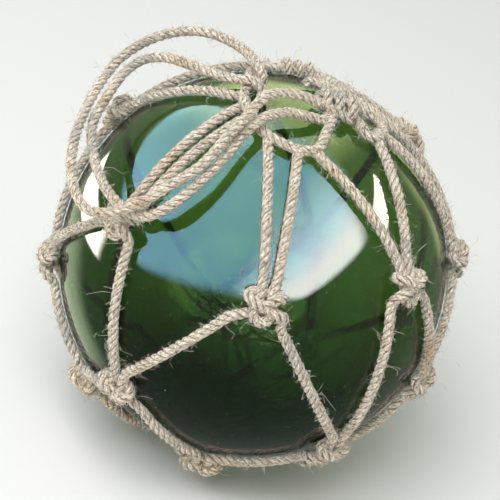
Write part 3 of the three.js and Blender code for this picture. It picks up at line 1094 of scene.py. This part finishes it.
def studio_light(name, azimuth, elevation, distance, size, radiance, turned=0, shift=(0, 0)):
    """A rectangular light that looks at the ball. Its strength is what a mirror would show.

    It is turned in its own plane by some degrees, and then moved along its own sides.
    """
    data = bpy.data.lights.new(name, "AREA")
    data.shape = "RECTANGLE"
    data.size, data.size_y = size
    data.energy = radiance * AREA_LIGHT_FACTOR * size[0] * size[1]
    light = bpy.data.objects.new(name, data)
    place = over_ball(azimuth, 90 - elevation, distance)
    aim = (place - BALL_MIDDLE).to_track_quat("Z", "Y").to_matrix().to_4x4()
    turn_and_move = Matrix.Rotation(math.radians(turned), 4, "Z") @ Matrix.Translation((*shift, 0))
    light.matrix_world = Matrix.Translation(place) @ aim @ turn_and_move
    light.visible_camera = False
    bpy.context.scene.collection.objects.link(light)
    print(name, "at", azimuth, "degrees round and", elevation, "up,", round(data.energy, 2), "W")
    return light


key = studio_light("key_softbox", azimuth=-32, elevation=58, distance=1.5, size=(1.3, 1.3), radiance=3.6)
key.visible_glossy = False

# %% [markdown]
# The largest card fills the upper half of the glass. It is pale blue on the left and turns white on the
# right, with a slanting top edge, and both come from its own coordinates, so no image is needed. It is
# hung twice, ten millimetres apart: the first is also seen through the glass and the second is only
# mirrored. That gives the glass its sheen without a green glare where light passes through it.

# %% Hang the large blue and white card
CARD_SIZE = (4.8, 4.4)
TOP_EDGE = {"From Min": 0.25, "From Max": 0.44, "To Min": 0.875, "To Max": 0.648}
TOP_AND_FOOT_FADE = 0.14
SIDE_FADE = 0.12
CARD_COLOURS = [
    (0.0, (0.17, 0.36, 0.52)), (0.53, (0.09, 0.22, 0.35)), (0.65, (0.50, 0.69, 0.85)),
    (0.78, (0.94, 0.84, 0.92)), (0.88, (0.86, 0.86, 0.88)),
]
DULL_CORNER = (0.70, 0.66, 0.56, 1)  # dims the upper left of the card
CORNER_FOOT = 0.42
CORNER_RISE = 0.2
CORNER_SIDE = 0.5
CORNER_SPREAD = 0.25


def card_only(light, through=False):
    """Hides the light from matt surfaces, so that the glass mirrors it, or also shows it from behind."""
    light.visible_diffuse = False
    light.visible_transmission = through
    light.data.use_nodes = True
    tree = light.data.node_tree
    across = add(tree, "ShaderNodeSeparateXYZ", {0: add(tree, "ShaderNodeTexCoord").outputs["UV"]}).outputs
    return tree, tree.nodes["Emission"].inputs, across


def rise(tree, value, over):
    """A factor that rises smoothly from 0 to 1 while the value goes from 0 to over."""
    inputs = {"Value": value, "From Max": over}
    return add(tree, "ShaderNodeMapRange", inputs, interpolation_type="SMOOTHSTEP").outputs[0]


def edge_fade(tree, across, edge):
    """A factor that rises smoothly from 0 on both edges to 1, over that share of the width."""
    from_middle = maths(tree, "ABSOLUTE", maths(tree, "SUBTRACT", across, 0.5))
    return rise(tree, maths(tree, "SUBTRACT", 0.5, from_middle), edge)


def hang_large_card(name, distance, radiance, through):
    """The card that goes from pale blue to white, with its top edge lower on the white side."""
    card = studio_light(
        name, azimuth=-60, elevation=70, distance=distance, size=CARD_SIZE, radiance=radiance,
        turned=45, shift=(0.2, 0.25),
    )
    tree, emission, across = card_only(card, through)
    top = add(tree, "ShaderNodeMapRange", {"Value": across[0], **TOP_EDGE}).outputs[0]
    below_top = rise(tree, maths(tree, "SUBTRACT", top, across[1]), TOP_AND_FOOT_FADE)
    above_foot = rise(tree, across[1], TOP_AND_FOOT_FADE)
    high = rise(tree, maths(tree, "SUBTRACT", across[1], CORNER_FOOT), CORNER_RISE)
    left = rise(tree, maths(tree, "SUBTRACT", CORNER_SIDE, across[0]), CORNER_SPREAD)
    corner = maths(tree, "MULTIPLY", high, left)
    colour = mixed(tree, "MULTIPLY", corner, ramp(tree, across[0], CARD_COLOURS), DULL_CORNER)
    between_edges = maths(tree, "MULTIPLY", below_top, above_foot)
    strength = maths(tree, "MULTIPLY", edge_fade(tree, across[0], SIDE_FADE), between_edges)
    tree.links.new(colour, emission["Color"])
    tree.links.new(strength, emission["Strength"])


hang_large_card("blue_card", 0.73, 9.0, through=True)
hang_large_card("blue_sheen_card", 0.74, 6.0, through=False)

# %% [markdown]
# Five plain cards make the other patches. Two small cream ones glow at the right and the left rim, and
# an olive and two green ones lift the sides of the glass a little, where it would be black.

# %% Hang the small cards
CREAM = (1.0, 0.94, 0.82)
OLIVE = (0.80, 1.0, 0.60)
GREEN = (0.85, 1.0, 0.40)


def hang_card(name, soft, colour, **place):
    """A card of one colour, whose edges fade over that share of its width and height."""
    card = studio_light(name, **place)
    card.data.color = colour
    tree, emission, across = card_only(card)
    strength = maths(tree, "MULTIPLY", edge_fade(tree, across[0], soft), edge_fade(tree, across[1], soft))
    tree.links.new(strength, emission["Strength"])


hang_card(
    "cream_card_right", 0.08, CREAM,
    azimuth=112, elevation=36.5, distance=0.8, size=(0.46, 0.18), radiance=17,
)
hang_card(
    "cream_card_left", 0.15, CREAM,
    azimuth=-106, elevation=-9, distance=0.25, size=(0.30, 0.08), radiance=15,
)
hang_card(
    "olive_card_left", 0.35, OLIVE,
    azimuth=-124, elevation=-38, distance=0.6, size=(0.60, 0.75), radiance=1.1,
)
hang_card(
    "green_card_back", 0.25, GREEN,
    azimuth=190, elevation=43, distance=1.0, size=(1.5, 1.6), radiance=2.5,
)
hang_card(
    "green_card_right", 0.35, GREEN,
    azimuth=147, elevation=4, distance=0.6, size=(0.36, 0.55), radiance=1.1,
)

# %% [markdown]
# What no card covers, the glass sees as a plain grey-green room, dark below and paler from eye level up.
# A gradient on the world gives that, and it also fills the shadows between the ropes.

# %% Surround it with an even room
ROOM_COLOURS = [
    (0.12, (0.22, 0.26, 0.22)), (0.36, (0.32, 0.37, 0.27)), (0.50, (0.39, 0.44, 0.32)),
    (0.75, (0.40, 0.42, 0.38)),
]


def surround_with_studio():
    world = bpy.data.worlds.new("studio")
    world.use_nodes = True
    tree = world.node_tree
    direction = add(tree, "ShaderNodeTexCoord").outputs["Generated"]
    upwards = add(tree, "ShaderNodeSeparateXYZ", {0: direction}).outputs["Z"]
    height = add(tree, "ShaderNodeMapRange", {"Value": upwards, "From Min": -1.0}).outputs[0]
    tree.links.new(ramp(tree, height, ROOM_COLOURS), tree.nodes["Background"].inputs["Color"])
    bpy.context.scene.world = world


surround_with_studio()
bpy.context.scene.view_settings.view_transform = "Standard"
print("room:", len(ROOM_COLOURS), "tones from the floor up")
